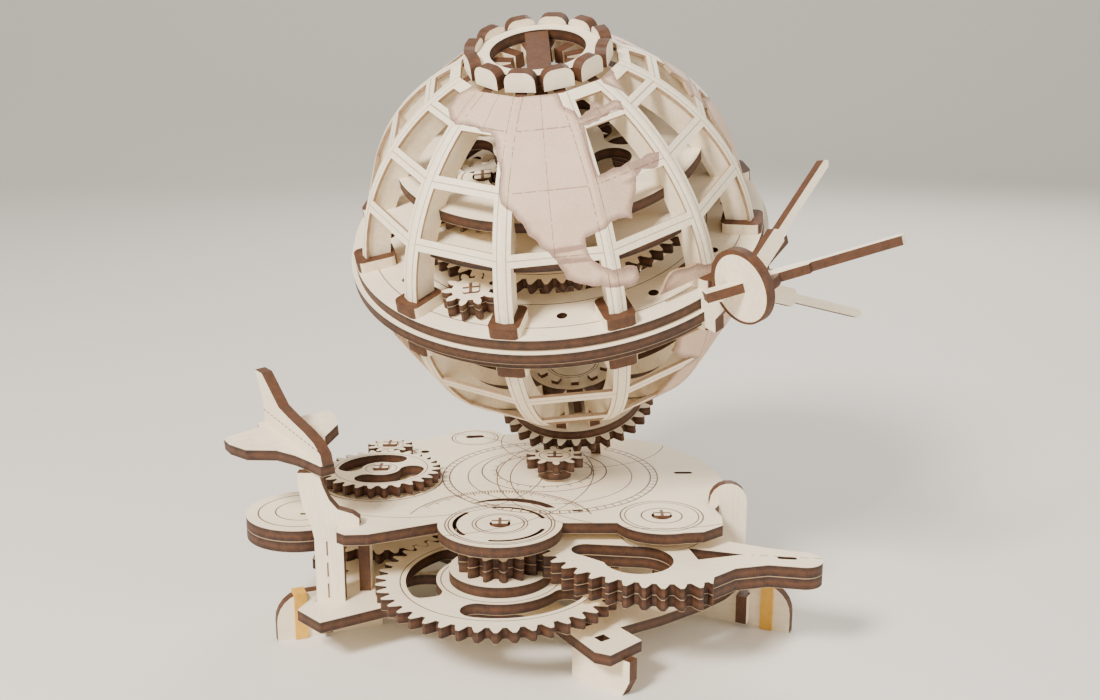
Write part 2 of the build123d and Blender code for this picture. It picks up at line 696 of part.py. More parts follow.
def satellite_frame():
    """The ball's place: its Z axis points back along the whips, away from the direction of flight."""
    radius, angle, height = SATELLITE_AT
    local = Vector(radius * cos(radians(angle)), radius * sin(radians(angle)), height)
    centre = (GLOBE * Pos(local)).position
    return Plane(origin=centre, z_dir=Vector(0.785, 0.573, 0.236), x_dir=Vector(0.46, -0.80, 0.10)).location


def whip(front):
    """One swept arm in the XZ plane, with a wide root that starts in front of or inside the ball."""
    points = [(-front, -WHIP), (19, -WHIP), (20, -WHIP / 2), (ANTENNA - 1.3, -WHIP / 2), (ANTENNA, 0),
              (ANTENNA - 1.3, WHIP / 2), (20, WHIP / 2), (19, WHIP), (-front, WHIP)]
    face = Plane.XZ * make_face(Polyline(*points, close=True))
    arm = extrude(face, amount=SATELLITE_PLY / 2, both=True)
    return Rot(0, SWEEP - 90, 0) * arm


def whip_plate(front):
    """Two swept arms in one plane; the first reaches out in front of the ball."""
    return whip(front) + (Rot(0, 0, 180) * whip(0))


def satellite_antennas():
    """Two whip plates that cross inside the ball."""
    return satellite_frame() * (whip_plate(11.0) + (Rot(0, 0, 90) * whip_plate(0)))


def satellite_ball():
    """Round plates at right angles, slotted into each other and cut away round the whips."""
    flat = Cylinder(BALL_R, SATELLITE_PLY)
    cross = flat + (Rot(90, 0, 45) * Cylinder(BALL_R - 0.6, SATELLITE_PLY))
    cross += Rot(90, 0, 135) * Cylinder(BALL_R - 0.6, SATELLITE_PLY)
    behind = Pos(0, 0, 20 - SATELLITE_PLY / 2) * Box(40, 40, 40)
    return satellite_frame() * ((cross & behind) + flat) - satellite_antennas()


def satellite_bracket():
    """A clip that grips the orbit ring's rim and holds the ball clear of it."""
    grip = ORBIT_R - 1.2
    points = [(grip, 0.0), (ORBIT_R, 0.0), (ORBIT_R, RING_LOW), (grip, RING_LOW), (grip, -5.8), (72.6, -5.8),
              (72.6, -1.0), (75.5, 3.0), (80, 9.0), (76, 13), (70.4, 7.4), (grip, 6.0)]
    face = Plane.XZ * make_face(Polyline(*points, close=True))
    jaw = extrude(face, amount=PLY / 2, both=True)
    placed = on_globe(Rot(0, 0, SATELLITE_AT[1]) * jaw)
    return placed - satellite_ball() - satellite_antennas()


# The shuttle flies nearly level on the left leg's arm, its nose towards the front and the right
SHUTTLE_NOSE = Vector(-66.4, -53.0, 61.5)
SHUTTLE_AFT = Vector(-0.529, 0.848, 0.038)
SHUTTLE_UP = Vector(-0.072, -0.09, 0.993)
SHUTTLE = Plane(origin=SHUTTLE_NOSE, x_dir=SHUTTLE_AFT, z_dir=SHUTTLE_UP).location


def shuttle_fuselage():
    """The side profile with its tail fin. X runs from the nose to the tail, and the wing lies below."""
    points = [(0, 0), (0.4, 3.4), (5, 6.0), (12, 7.2), (24, 8.2), (33, 9.4), (45, 17.6), (51.6, 17.2), (48, 8.0),
              (48.8, 0)]
    return SHUTTLE * extrude(Plane.XZ * make_face(Polyline(*points, close=True)), amount=PLY / 2, both=True)


def shuttle_wing():
    half = [(0.6, 2.2), (7, 3.4), (14, 5.0), (22, 8.2), (29, 15.6), (37, 18.1), (42.5, 18.1), (43.4, 16.6),
            (44.6, 5.4), (48.6, 4.6)]
    points = half + [(x, -y) for x, y in reversed(half)]
    return SHUTTLE * plate(points, -PLY, PLY)


# ---------------------------------------------------------------- assembly

def listed(shape):
    """One shape, or a list of shapes, as one compound or solid."""
    if isinstance(shape, (list, tuple, ShapeList)):
        return Compound(children=[s for s in shape])
    return shape


def build():
    """Every piece at rest, named, with the table top at Z 0."""
    base_top = DECK_TOP + 1.0
    pieces = {
        "lower_plate": lower_plate(),
        "side_feet": [side_foot(*place) for place in SIDE_FEET],
        "foot_front": foot_front(),
        "foot_clips": [foot_clip(*place) - side_foot(*place) for place in SIDE_FEET],
        "rubber_bands": [band_loop(*place) for place in SIDE_FEET],
        "left_leg": left_leg(),
        "right_leg": right_leg(),
        "brace_posts": brace_posts(),
        "deck_plate": deck_plate(),
        "side_pad": side_pad(),
        "tilt_brackets": tilt_brackets(),
        "tilt_bearing_plate": on_globe(tilt_bearing_plate()),
        "axis_post": on_globe(axis_post()),
        "great_gear": on_globe(great_gear()),
        "upper_sun_pinion": on_globe(upper_sun_pinion()),
        "shuttle_fuselage": shuttle_fuselage(),
        "shuttle_wing": shuttle_wing(),
        "lever_lower": lever_ply(LEVER_Z),
        "lever_upper": lever_ply(LEVER_Z + PLY),
        "lever_axle": axle(LOWER_Z + 0.2, base_top, LEVER),
        "main_axle": axle(LOWER_Z + 0.2, base_top, HUB),
        "main_gear": main_gear(),
        "main_spacer": main_spacer(),
        "main_pinion": keyed_gear(MAIN_PINION_TEETH, MAIN_MODULE, PINION_Z, 2 * PLY, HUB, MAIN_PINION_PHASE),
        "centre_axle": axle(LOWER_Z + 0.2, DECK_PINION_Z + DECK_PINION_T + 0.6, CENTRE),
        "centre_lower_pinion": keyed_gear(CENTRE_TEETH, MAIN_MODULE, GEAR_Z, PLY, CENTRE, CENTRE_PHASE),
        "deck_pinion": deck_pinion(),
        "left_axle": axle(LOWER_Z + 0.2, DECK_GEAR_Z + PLY + 1.0, LEFT),
        "left_lower_gear": keyed_gear(LEFT_LOWER_TEETH, MAIN_MODULE, GEAR_Z, PLY, LEFT, LEFT_LOWER_PHASE),
        "left_gear": left_gear(),
        "small_axle": axle(DECK_Z - 0.6, DECK_GEAR_Z + PLY + 1.0, SMALL),
        "small_pinion": keyed_gear(SMALL_TEETH, SIDE_MODULE, DECK_GEAR_Z, PLY, SMALL, SMALL_PHASE),
        "globe_gear": on_globe(globe_gear()),
        "south_hub": on_globe(south_hub()),
        "crown_wheel": on_globe(crown_wheel()),
        "crown_pegs": [on_globe(p) for p in crown_pegs()],
        "south_ribs": [on_globe(r) for r in around(south_rib(), RIB_COUNT, FIRST_RIB)],
        "south_gores": [on_globe(g) for g in south_gores()],
        "equator_lower_plate": on_globe(equator_lower_plate()),
        "equator_spacers": [on_globe(s) for s in equator_spacers()],
        "equator_upper_plate": on_globe(equator_upper_plate()),
        "north_ribs": [on_globe(r) for r in north_ribs()],
        "north_gores": [on_globe(g) for g in north_gores()],
        "bridge_lower": on_globe(bridge_lower()),
        "bridge_upper": on_globe(bridge_upper()),
        "pole_plates": [on_globe(p) for p in pole_plates()],
        "top_ring": on_globe(top_ring()),
        "top_petals": [on_globe(p) for p in top_petals()],
        "upper_gear": on_globe(upper_gear()),
        "upper_axle": on_globe(axle(BRIDGE_Z - 0.6, BRIDGE_TOP_Z + PLY + 0.6,
                                    along((0, 0), UPPER_ANGLE, UPPER_ORBIT))),
        "orbit_ring": on_globe(orbit_ring()),
        "satellite_bracket": satellite_bracket(),
        "satellite_ball": satellite_ball(),
        "satellite_antennas": satellite_antennas(),
    }
    for number in (1, 2):
        post, ring_pinion, sun_pinion = planet_parts(number - 1)
        pieces[f"planet_axle_{number}"] = on_globe(post)
        pieces[f"planet_ring_pinion_{number}"] = on_globe(ring_pinion)
        pieces[f"planet_sun_pinion_{number}"] = on_globe(sun_pinion)
    return {name: listed(shape) for name, shape in pieces.items()}


def middle_of(pieces):
    """The point on the table under the middle of everything."""
    boxes = [p.bounding_box() for p in pieces.values()]
    low_x = min(b.min.X for b in boxes)
    high_x = max(b.max.X for b in boxes)
    low_y = min(b.min.Y for b in boxes)
    high_y = max(b.max.Y for b in boxes)
    return Vector((low_x + high_x) / 2, (low_y + high_y) / 2, min(b.min.Z for b in boxes))


PIECES = build()
ORIGIN = middle_of(PIECES)
os.makedirs("parts", exist_ok=True)
for node, piece in PIECES.items():
    export_step(Pos(-ORIGIN.X, -ORIGIN.Y, -ORIGIN.Z) * piece, f"parts/{node}.step")
print("origin", ORIGIN, "globe", GLOBE_AT, "nodes", len(PIECES))
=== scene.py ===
import bpy
import json
import math
import random
from mathutils import Matrix, Vector
from mathutils.geometry import delaunay_2d_cdt


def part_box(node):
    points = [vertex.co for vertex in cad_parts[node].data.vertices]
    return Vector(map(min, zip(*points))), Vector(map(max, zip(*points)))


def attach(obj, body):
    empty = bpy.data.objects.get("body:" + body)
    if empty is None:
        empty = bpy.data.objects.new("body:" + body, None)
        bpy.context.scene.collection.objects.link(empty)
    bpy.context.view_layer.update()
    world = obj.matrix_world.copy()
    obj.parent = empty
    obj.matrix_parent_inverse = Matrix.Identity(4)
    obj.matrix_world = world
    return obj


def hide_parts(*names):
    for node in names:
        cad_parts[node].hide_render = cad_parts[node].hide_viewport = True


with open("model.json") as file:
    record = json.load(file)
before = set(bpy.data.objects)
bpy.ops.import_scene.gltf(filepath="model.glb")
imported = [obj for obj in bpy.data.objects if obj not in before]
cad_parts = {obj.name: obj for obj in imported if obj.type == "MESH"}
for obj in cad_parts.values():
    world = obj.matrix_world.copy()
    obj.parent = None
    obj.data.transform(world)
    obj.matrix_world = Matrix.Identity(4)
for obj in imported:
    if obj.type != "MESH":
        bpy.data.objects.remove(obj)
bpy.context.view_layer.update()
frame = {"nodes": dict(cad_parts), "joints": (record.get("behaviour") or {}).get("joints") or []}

# ---------------------------------------------------------------- Table, lamps and camera
# A pale table top that curves up into a wall behind, with a large soft lamp from the front left, a weaker one
# from the right and one from behind. None of this is part of the object.

BEND_AT = 1.2          # metres behind the object where the table starts to curve up
BEND_R = 0.8
profile = [(-3.0, 0.0), (BEND_AT, 0.0)]
for degrees in range(6, 91, 6):
    turn = math.radians(degrees)
    profile.append((BEND_AT + BEND_R * math.sin(turn), BEND_R - BEND_R * math.cos(turn)))
profile.append((BEND_AT + BEND_R, 4.0))
sweep = bpy.data.meshes.new("table_top")
sweep.from_pydata([(x, y, z) for y, z in profile for x in (-4.0, 4.0)], [],
                  [(i, i + 1, i + 3, i + 2) for i in range(0, 2 * len(profile) - 2, 2)])
sweep.shade_smooth()
table_top = bpy.data.objects.new("table_top", sweep)
bpy.context.scene.collection.objects.link(table_top)
table_finish = bpy.data.materials.new("pale_table")
table_finish.use_nodes = True
table_shader = table_finish.node_tree.nodes["Principled BSDF"]
table_shader.inputs["Base Color"].default_value = (0.78, 0.74, 0.67, 1)
table_shader.inputs["Roughness"].default_value = 0.6
table_top.data.materials.append(table_finish)

room = bpy.data.worlds.new("room")
bpy.context.scene.world = room
room.use_nodes = True
room.node_tree.nodes["Background"].inputs["Color"].default_value = (1.0, 0.985, 0.96, 1)
room.node_tree.nodes["Background"].inputs["Strength"].default_value = 0.6


def lamp(name, place, aim, width, power, colour):
    """A square soft lamp that looks at a point."""
    light = bpy.data.lights.new(name, "AREA")
    light.size = width
    light.energy = power
    light.color = colour
    holder = bpy.data.objects.new(name, light)
    holder.location = place
    holder.rotation_euler = (Vector(aim) - Vector(place)).to_track_quat("-Z", "Y").to_euler()
    bpy.context.scene.collection.objects.link(holder)


lamp("key_lamp", (-0.55, -0.75, 0.85), (0, 0, 0.09), 0.26, 27.0, (1.0, 0.96, 0.90))
lamp("side_lamp", (0.9, -0.5, 0.45), (0, 0, 0.1), 0.7, 4.5, (1.0, 0.97, 0.93))
lamp("back_lamp", (0.3, 0.9, 0.7), (0, 0, 0.12), 0.6, 7.0, (1.0, 0.98, 0.94))

camera = bpy.data.cameras.new("camera")
camera.sensor_width = 36.0
camera.lens = 42.55
camera.clip_start = 0.01
viewer = bpy.data.objects.new("camera", camera)
viewer.location = (0.0019, -0.4138, 0.188)
viewer.rotation_euler = (math.radians(90 - 13.8), 0, 0)
bpy.context.scene.collection.objects.link(viewer)
bpy.context.scene.camera = viewer

# ---------------------------------------------------------------- Lower plate
# The bottom sheet that carries the feet, the legs and the lower bearings. It is birch plywood of three
# veneers, cut by laser, so its faces are pale and its edges are burnt brown.

PLY = 0.0036
UP = Vector((0, 0, 1))


class Amount:
    """A number that changes over a surface. Ordinary sums on it add Math nodes."""

    def __init__(self, finish, socket):
        self.finish = finish
        self.socket = socket

    def math(self, operation, *values, clamp=False):
        node = self.finish.node("ShaderNodeMath", {"operation": operation, "use_clamp": clamp}, values)
        return Amount(self.finish, node.outputs[0])

    def __add__(self, other):
        return self.math("ADD", self, other)

    __radd__ = __add__

    def __sub__(self, other):
        return self.math("SUBTRACT", self, other)

    def __rsub__(self, other):
        return self.math("SUBTRACT", other, self)

    def __mul__(self, other):
        return self.math("MULTIPLY", self, other)

    __rmul__ = __mul__

    def __truediv__(self, other):
        return self.math("DIVIDE", self, other)

    def __rtruediv__(self, other):
        return self.math("DIVIDE", other, self)

    def __pow__(self, other):
        return self.math("POWER", self, other)

    def __mod__(self, other):
        return self.math("FLOORED_MODULO", self, other)

    def __abs__(self):
        return self.math("ABSOLUTE", self)

    def __gt__(self, other):
        return self.math("GREATER_THAN", self, other)

    def __lt__(self, other):
        return self.math("LESS_THAN", self, other)

    def root(self):
        return self.math("SQRT", self)

    def limited(self):
        return self.math("ADD", self, 0.0, clamp=True)

    def greater(self, other):
        return self.math("MAXIMUM", self, other)

    def line(self, width, soft=0.08):
        """1 where the number is within half a width of nought, fading over the soft distance."""
        return ((width / 2 - abs(self)) / soft + 0.5).limited()

    def above(self, level, soft):
        """0 below the level and 1 above it, with a soft step between."""
        return ((self - level) / soft + 0.5).limited()


class Finish:
    """A material in the making, with places and normals in the row frame."""

    def __init__(self, name, roughness):
        self.material = bpy.data.materials.new(name)
        self.material.use_nodes = True
        self.tree = self.material.node_tree
        self.shader = self.tree.nodes["Principled BSDF"]
        self.shader.inputs["Roughness"].default_value = roughness
        coordinates = self.node("ShaderNodeTexCoord").outputs
        self.normal = coordinates["Normal"]
        self.spot = self.vector("SCALE", coordinates["Object"], scale=1000.0)

    def node(self, kind, settings=None, values=()):
        made = self.tree.nodes.new(kind)
        for key, value in (settings or {}).items():
            setattr(made, key, value)
        pairs = values.items() if isinstance(values, dict) else enumerate(values)
        for key, value in pairs:
            if isinstance(value, Amount):
                value = value.socket
            if isinstance(value, bpy.types.NodeSocket):
                self.tree.links.new(value, made.inputs[key])
            else:
                made.inputs[key].default_value = value
        return made

    def vector(self, operation, first, second=None, scale=None):
        values = {0: first}
        if second is not None:
            values[1] = second
        if scale is not None:
            values["Scale"] = scale
        return self.node("ShaderNodeVectorMath", {"operation": operation}, values).outputs[0]

    def dot(self, first, second):
        made = self.node("ShaderNodeVectorMath", {"operation": "DOT_PRODUCT"}, (first, second))
        return Amount(self, made.outputs["Value"])

    def parts(self, vector):
        return [Amount(self, s) for s in self.node("ShaderNodeSeparateXYZ", None, (vector,)).outputs]

    def angle(self, y, x):
        """The direction of a point in degrees, from 0 to 360."""
        turned = self.node("ShaderNodeMath", {"operation": "ARCTAN2"}, (y, x)).outputs[0]
        return (Amount(self, turned) * 57.29578) % 360.0

    def clouds(self, stretch, scale, detail=3.0, rough=0.55):
        """Noise between 0 and 1; stretch squeezes the pattern along X, Y and Z."""
        where = self.vector("MULTIPLY", self.spot, stretch)
        made = self.node("ShaderNodeTexNoise", None, {"Vector": where, "Scale": scale, "Detail": detail,
                                                      "Roughness": rough})
        return Amount(self, made.outputs[0])

    def mixed(self, share, first, second):
        made = self.node("ShaderNodeMix", {"data_type": "RGBA"}, {0: share, 6: first, 7: second})
        return made.outputs[2]

    def bump(self, height, distance, strength=0.5):
        made = self.node("ShaderNodeBump", None, {"Height": height, "Distance": distance, "Strength": strength})
        self.tree.links.new(made.outputs[0], self.shader.inputs["Normal"])

    def colour(self, socket):
        self.tree.links.new(socket, self.shader.inputs["Base Color"])


VENEER = (0.92, 0.80, 0.60, 1)
VENEER_DARK = (0.74, 0.56, 0.36, 1)
BURNT = (0.022, 0.008, 0.004, 1)
TOASTED = (0.125, 0.045, 0.014, 1)
SEAM = (0.50, 0.33, 0.18, 1)
SCORCH = (0.11, 0.045, 0.02, 1)


def veneer(finish, grain):
    """Pale birch: long fine streaks along one direction, short dark pores and a slow change of tone."""
    streaks = finish.clouds(grain, 1.0, 4.0, 0.6)
    pores = finish.clouds([g * 3.1 for g in grain], 1.0, 2.0)
    tone = finish.clouds((1, 1, 1), 0.035, 2.0)
    share = (streaks.above(0.55, 0.30) * 0.42 + pores.above(0.66, 0.06) * 0.28 + (tone - 0.5) * 0.5).limited()
    return finish.mixed(share, VENEER, VENEER_DARK), streaks


def charred(finish, depth):
    """A laser-cut edge: burnt brown, toasted in the middle of each sheet, with fine strokes across it."""
    blotch = finish.clouds((1, 1, 1), 0.45, 3.0)
    strokes = finish.clouds((4, 4, 0.6), 1.0, 2.0)
    middle = (1 - abs(depth - 0.5) * 2.6).limited()
    share = (middle * 0.55 + (blotch - 0.42) * 1.1 + (strokes - 0.5) * 0.7).limited()
    brown = finish.mixed(share, BURNT, TOASTED)
    rim = ((abs(depth - 0.5) - 0.455) / 0.02).limited()
    return finish.mixed(rim * 0.8, brown, SEAM)


def plywood(name, faces, depth=0.5, grain=(0.12, 2.2, 2.2), engraved=None, roughness=0.62):
    """Fills a finish: faces says how much a spot is on a sheet's face, engraved how deep a mark is."""
    def fill(finish):
        face = faces(finish).above(0.75, 0.1)
        pale, streaks = veneer(finish, grain)
        brown = charred(finish, depth(finish) if callable(depth) else finish.dot(finish.spot, (0, 0, 0)) + depth)
        height = face * streaks * 0.12 + (1 - face) * finish.clouds((3, 3, 0.8), 1.0, 2.0) * 0.5
        if engraved is not None:
            marks = engraved(finish)
            marks = marks * face
            speckle = finish.clouds((1, 1, 1), 1.7, 2.0)
            pale = finish.mixed((marks * (0.72 + speckle * 0.5)).limited(), pale, SCORCH)
            height = height - marks * 1.2
        finish.colour(finish.mixed(face, brown, pale))
        finish.bump(height, 0.0002, 0.6)
        return finish.material
    return fill(Finish(name, roughness))


def facing(direction):
    """How squarely a face looks along a fixed direction or against it."""
    return lambda finish: abs(finish.dot(finish.normal, direction))


def sheet_depth(node, direction):
    """How far a spot lies through its sheet, from 0 to 1, counted from the node's lowest face."""
    low = min(v.co.dot(direction) for v in frame["nodes"][node].data.vertices)
    step = PLY * 1000
    return lambda finish: ((finish.dot(finish.spot, direction) - low * 1000) / step) % 1.0


def dress(node, material):
    """Gives a CAD node one material all over."""
    slots = frame["nodes"][node].data.materials
    slots.clear()
    slots.append(material)


def flat_sheet(node, direction=UP, **how):
    """Dresses a node that is one or more sheets lying square to a direction."""
    dress(node, plywood(node + "_ply", facing(direction), sheet_depth(node, direction), **how))


flat_sheet("lower_plate", grain=(2.2, 0.12, 2.2))

# ---------------------------------------------------------------- Feet, legs and posts
# Sheets that stand on edge. The two side feet and the front foot plug into arms of the lower plate, and
# the legs and posts carry the deck. Short cross pieces lock the side feet.


def square_to(heading):
    """The normal of a sheet that stands on edge and runs along a heading in degrees."""
    return Vector((-math.sin(math.radians(heading)), math.cos(math.radians(heading)), 0))


def upright_sheet(node, heading, **how):
    dress(node, plywood(node + "_ply", facing(square_to(heading)), **how))


def either_side(right, left):
    """The facing of sheets whose normal is one direction right of the middle, and another left of it."""
    def faces(finish):
        is_right = finish.parts(finish.spot)[0] > 0
        on_right = abs(finish.dot(finish.normal, right))
        on_left = abs(finish.dot(finish.normal, left))
        return is_right * on_right + (1 - is_right) * on_left
    return faces


RIGHT_FOOT = -25.8
LEFT_FOOT = 202
FRONT_FOOT = -41
dress("side_feet", plywood("side_feet_ply", either_side(square_to(RIGHT_FOOT), square_to(LEFT_FOOT)),
                           grain=(0.15, 0.15, 2.2)))
dress("foot_clips", plywood("foot_clips_ply", either_side(square_to(RIGHT_FOOT + 90), square_to(LEFT_FOOT + 90))))
upright_sheet("foot_front", FRONT_FOOT, grain=(0.15, 0.15, 2.2))
upright_sheet("right_leg", 0, grain=(2.2, 2.2, 0.12))
upright_sheet("brace_posts", 90, grain=(2.2, 2.2, 0.12))


def leg_marks(finish):
    """A dashed line down the middle of the leg."""
    x, y, z = finish.parts(finish.spot)
    middle = (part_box("left_leg")[0].x + 0.0082) * 1000
    return (x - middle).line(0.5) * (z % 7.0).above(2.2, 0.3) * (z < 36)


upright_sheet("left_leg", 0, grain=(2.2, 2.2, 0.12), engraved=leg_marks)

# ---------------------------------------------------------------- Rubber bands
# A flat amber rubber band round each side foot, which keeps the foot from slipping and ties it to its arm.

band = Finish("amber_rubber", 0.42)
band_tone = band.clouds((1, 1, 1), 0.5, 2.0)
band.colour(band.mixed(band_tone, (0.62, 0.29, 0.02, 1), (0.86, 0.50, 0.07, 1)))
band.bump(band.clouds((3, 3, 0.3), 1.0, 2.0), 0.0002, 0.4)
band.shader.inputs["Subsurface Weight"].default_value = 0.15
band.shader.inputs["Subsurface Radius"].default_value = (0.002, 0.001, 0.0004)
dress("rubber_bands", band.material)

# ---------------------------------------------------------------- Deck
# The top sheet of the base, engraved with rings, tick scales and orbit lines like an old instrument.

axle_at = {j["name"]: Vector(j["pos_m"]) * 1000 for j in frame["joints"]}
HUB = axle_at["main_spin"]
PIVOT = axle_at["lever_swing"]
LEFT = axle_at["left_spin"]
SMALL = axle_at["small_spin"]
CENTRE = axle_at["centre_spin"]
DIAL = Vector((1.9, 9.0))


def from_point(finish, centre):
    """Distance from an upright line in millimetres, and the angle round it in degrees."""
    x, y, z = finish.parts(finish.spot)
    across, back = x - centre[0], y - centre[1]
    return (across * across + back * back).root(), finish.angle(back, across)


def circles(finish, centre, *rings):
    """Engraved rings round a centre, each a radius and a line width."""
    distance, angle = from_point(finish, centre)
    marks = [(distance - radius).line(width) for radius, width in rings]
    total = marks[0]
    for mark in marks[1:]:
        total = total.greater(mark)
    return total


def ticks(finish, centre, inner, outer, step, width, start=0, end=360):
    """Short strokes that point at a centre, a step in degrees apart."""
    distance, angle = from_point(finish, centre)
    middle = (inner + outer) / 2
    across = ((angle + step / 2) % step - step / 2) * (middle * math.pi / 180)
    strokes = across.line(width) * (distance - middle).line(outer - inner)
    if (start, end) != (0, 360):
        strokes = strokes * (((angle - start) % 360.0) < (end - start))
    return strokes


def deck_marks(finish):
    marks = circles(finish, DIAL, (36.7, 0.48), (34.3, 0.48), (28.0, 0.36))
    more = [
        ticks(finish, DIAL, 34.4, 36.6, 5, 0.42),
        circles(finish, DIAL + Vector((-2, 5)), (21.5, 0.48), (16.5, 0.48)),
        ticks(finish, DIAL + Vector((-2, 5)), 16.6, 18.2, 15, 0.42),
        circles(finish, HUB, (17.0, 0.42), (16.0, 0.45), (7.5, 0.48), (8.6, 0.36)),
        circles(finish, HUB, (29.6, 0.42)) * (finish.parts(finish.spot)[1] > HUB[1] + 8),
        ticks(finish, HUB, 27.6, 29.5, 2, 0.36, 30, 150),
        ticks(finish, HUB, 26.4, 29.5, 10, 0.42, 30, 150),
        circles(finish, PIVOT, (13.0, 0.48), (11.6, 0.36), (6.4, 0.48)),
        circles(finish, LEFT, (20.6, 0.48), (18.8, 0.36)),
        circles(finish, SMALL, (9.4, 0.48)),
        circles(finish, DIAL + Vector((-28, 42)), (8.6, 0.48), (7.4, 0.2)),
        circles(finish, DIAL + Vector((34, -2)), (52.0, 0.36), (47.5, 0.36)),
        circles(finish, DIAL + Vector((-46, 4)), (44.0, 0.36), (61.0, 0.36)),
        circles(finish, DIAL + Vector((12, 38)), (30.0, 0.36)),
    ]
    for mark in more:
        marks = marks.greater(mark)
    return marks


flat_sheet("deck_plate", grain=(0.12, 2.2, 2.2), engraved=deck_marks)


def pad_marks(finish):
    low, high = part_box("side_pad")
    return circles(finish, (low + high) * 500, (14.5, 0.48), (9.0, 0.48))


flat_sheet("side_pad", grain=(0.12, 2.2, 2.2), engraved=pad_marks)

# ---------------------------------------------------------------- Lever and base gears
# Two sheets glued face to face make the lever, with its toothed sector and its handle. It drives a thick
# pinion on the big gear's shaft, and the big gear drives the two shafts behind and left of it.


def lever_marks(finish):
    marks = circles(finish, PIVOT, (12.6, 0.35), (9.0, 0.3))
    x, y, z = finish.parts(finish.spot)
    dashes = ((y - PIVOT[1]) + (x - PIVOT[0]) * 0.14 + 12.2).line(0.35) * (x % 4.0).above(1.6, 0.3)
    return marks.greater(dashes * (x > PIVOT[0] + 26))


flat_sheet("lever_lower", grain=(0.12, 2.2, 2.2))
flat_sheet("lever_upper", grain=(0.12, 2.2, 2.2), engraved=lever_marks)
flat_sheet("main_gear", grain=(0.12, 2.2, 2.2), engraved=lambda f: circles(f, HUB, (31.2, 0.35), (18.6, 0.35)))
flat_sheet("main_spacer", grain=(2.2, 0.12, 2.2))
flat_sheet("main_pinion", grain=(0.12, 2.2, 2.2))
flat_sheet("left_lower_gear", grain=(0.12, 2.2, 2.2))
flat_sheet("centre_lower_pinion", grain=(0.12, 2.2, 2.2))
flat_sheet("deck_pinion", grain=(0.12, 2.2, 2.2), engraved=lambda f: circles(f, CENTRE, (5.2, 0.3)))
flat_sheet("left_gear", grain=(2.2, 0.12, 2.2), engraved=lambda f: circles(f, LEFT, (15.6, 0.3), (5.2, 0.3)))
flat_sheet("small_pinion", grain=(2.2, 0.12, 2.2), engraved=lambda f: circles(f, SMALL, (4.6, 0.3)))

# ---------------------------------------------------------------- Axles
# Square bars pressed together from crossed strips, so an end shows a dark cross between four pale corners.


def axle_finish(name, centre, direction, side):
    """An axle's finish; direction points along it and side across one of its faces."""
    other = direction.cross(side)

    def crossed(finish):
        from_axis = finish.vector("SUBTRACT", finish.spot, centre)
        first = finish.dot(from_axis, side)
        second = finish.dot(from_axis, other)
        return first.line(1.0, 0.2).greater(second.line(1.0, 0.2))
    return plywood(name, facing(direction), grain=(1, 1, 1), engraved=crossed)


for node, centre in (("lever_axle", PIVOT), ("main_axle", HUB), ("centre_axle", CENTRE), ("left_axle", LEFT),
                     ("small_axle", SMALL)):
    dress(node, axle_finish(node + "_bar", centre, UP, Vector((1, 0, 0))))

# ---------------------------------------------------------------- Tilted stand, post and globe gear
# Two wedge frames on the deck hold a round bearing square to the tilted axis. The fixed post stands in it,
# and the globe turns on the post with its gear, its hub and the ring of pegs above.

spin = next(j for j in frame["joints"] if j["name"] == "globe_spin")
AXIS = Vector(spin["axis"]).normalized()
HEART = Vector(spin["pos_m"])
FRONT = (Vector((0, -1, 0)) - AXIS * AXIS.dot(Vector((0, -1, 0)))).normalized()
RIGHT = AXIS.cross(FRONT)
GLOBE = Matrix((FRONT, RIGHT, AXIS)).transposed().to_4x4()
GLOBE.translation = HEART
DOWNHILL = (UP * -1 + AXIS * AXIS.z).normalized()


def around_axis(finish):
    """A spot in the globe's own frame: forwards, right and up its axis, in millimetres."""
    from_heart = finish.vector("SUBTRACT", finish.spot, HEART * 1000)
    return [finish.dot(from_heart, way) for way in (FRONT, RIGHT, AXIS)]


def globe_rings(*rings):
    """Engraved rings round the globe's axis."""
    def marks(finish):
        ahead, right, up = around_axis(finish)
        distance = (ahead * ahead + right * right).root()
        total = (distance - rings[0][0]).line(rings[0][1])
        for radius, width in rings[1:]:
            total = total.greater((distance - radius).line(width))
        return total
    return marks


dress("tilt_brackets", plywood("tilt_brackets_ply", facing(AXIS.cross(DOWNHILL))))
flat_sheet("tilt_bearing_plate", AXIS, grain=(0.12, 2.2, 2.2))
flat_sheet("globe_gear", AXIS, grain=(0.12, 2.2, 2.2))
flat_sheet("south_hub", AXIS, grain=(2.2, 0.12, 2.2))
flat_sheet("crown_wheel", AXIS, grain=(0.12, 2.2, 2.2), engraved=globe_rings((8.4, 0.35), (9.4, 0.2)))
dress("crown_pegs", plywood("crown_pegs_ply", facing(AXIS), grain=(1, 1, 1)))
dress("axis_post", axle_finish("axis_post_bar", HEART * 1000, AXIS, FRONT))

# ---------------------------------------------------------------- Ribs
# Twelve crescents above the equator and twelve below it stand like the segments of an orange. Each has a
# foot that rests on its equator plate.


def round_the_axis(finish):
    """How squarely a face looks round the globe's axis, as the two faces of a rib do."""
    from_heart = finish.vector("SUBTRACT", finish.spot, HEART * 1000)
    around = finish.vector("NORMALIZE", finish.vector("CROSS_PRODUCT", AXIS, from_heart))
    return abs(finish.dot(finish.normal, around))


for node in ("north_ribs", "south_ribs"):
    dress(node, plywood(node + "_ply", round_the_axis, grain=(0.6, 0.6, 0.6)))

# ---------------------------------------------------------------- Equator plates, orbit ring and planet pinions
# Two ring plates with the toothed orbit ring running between them. Two small shafts through both plates
# carry a pinion in the ring's teeth and a pinion round the fixed great gear.

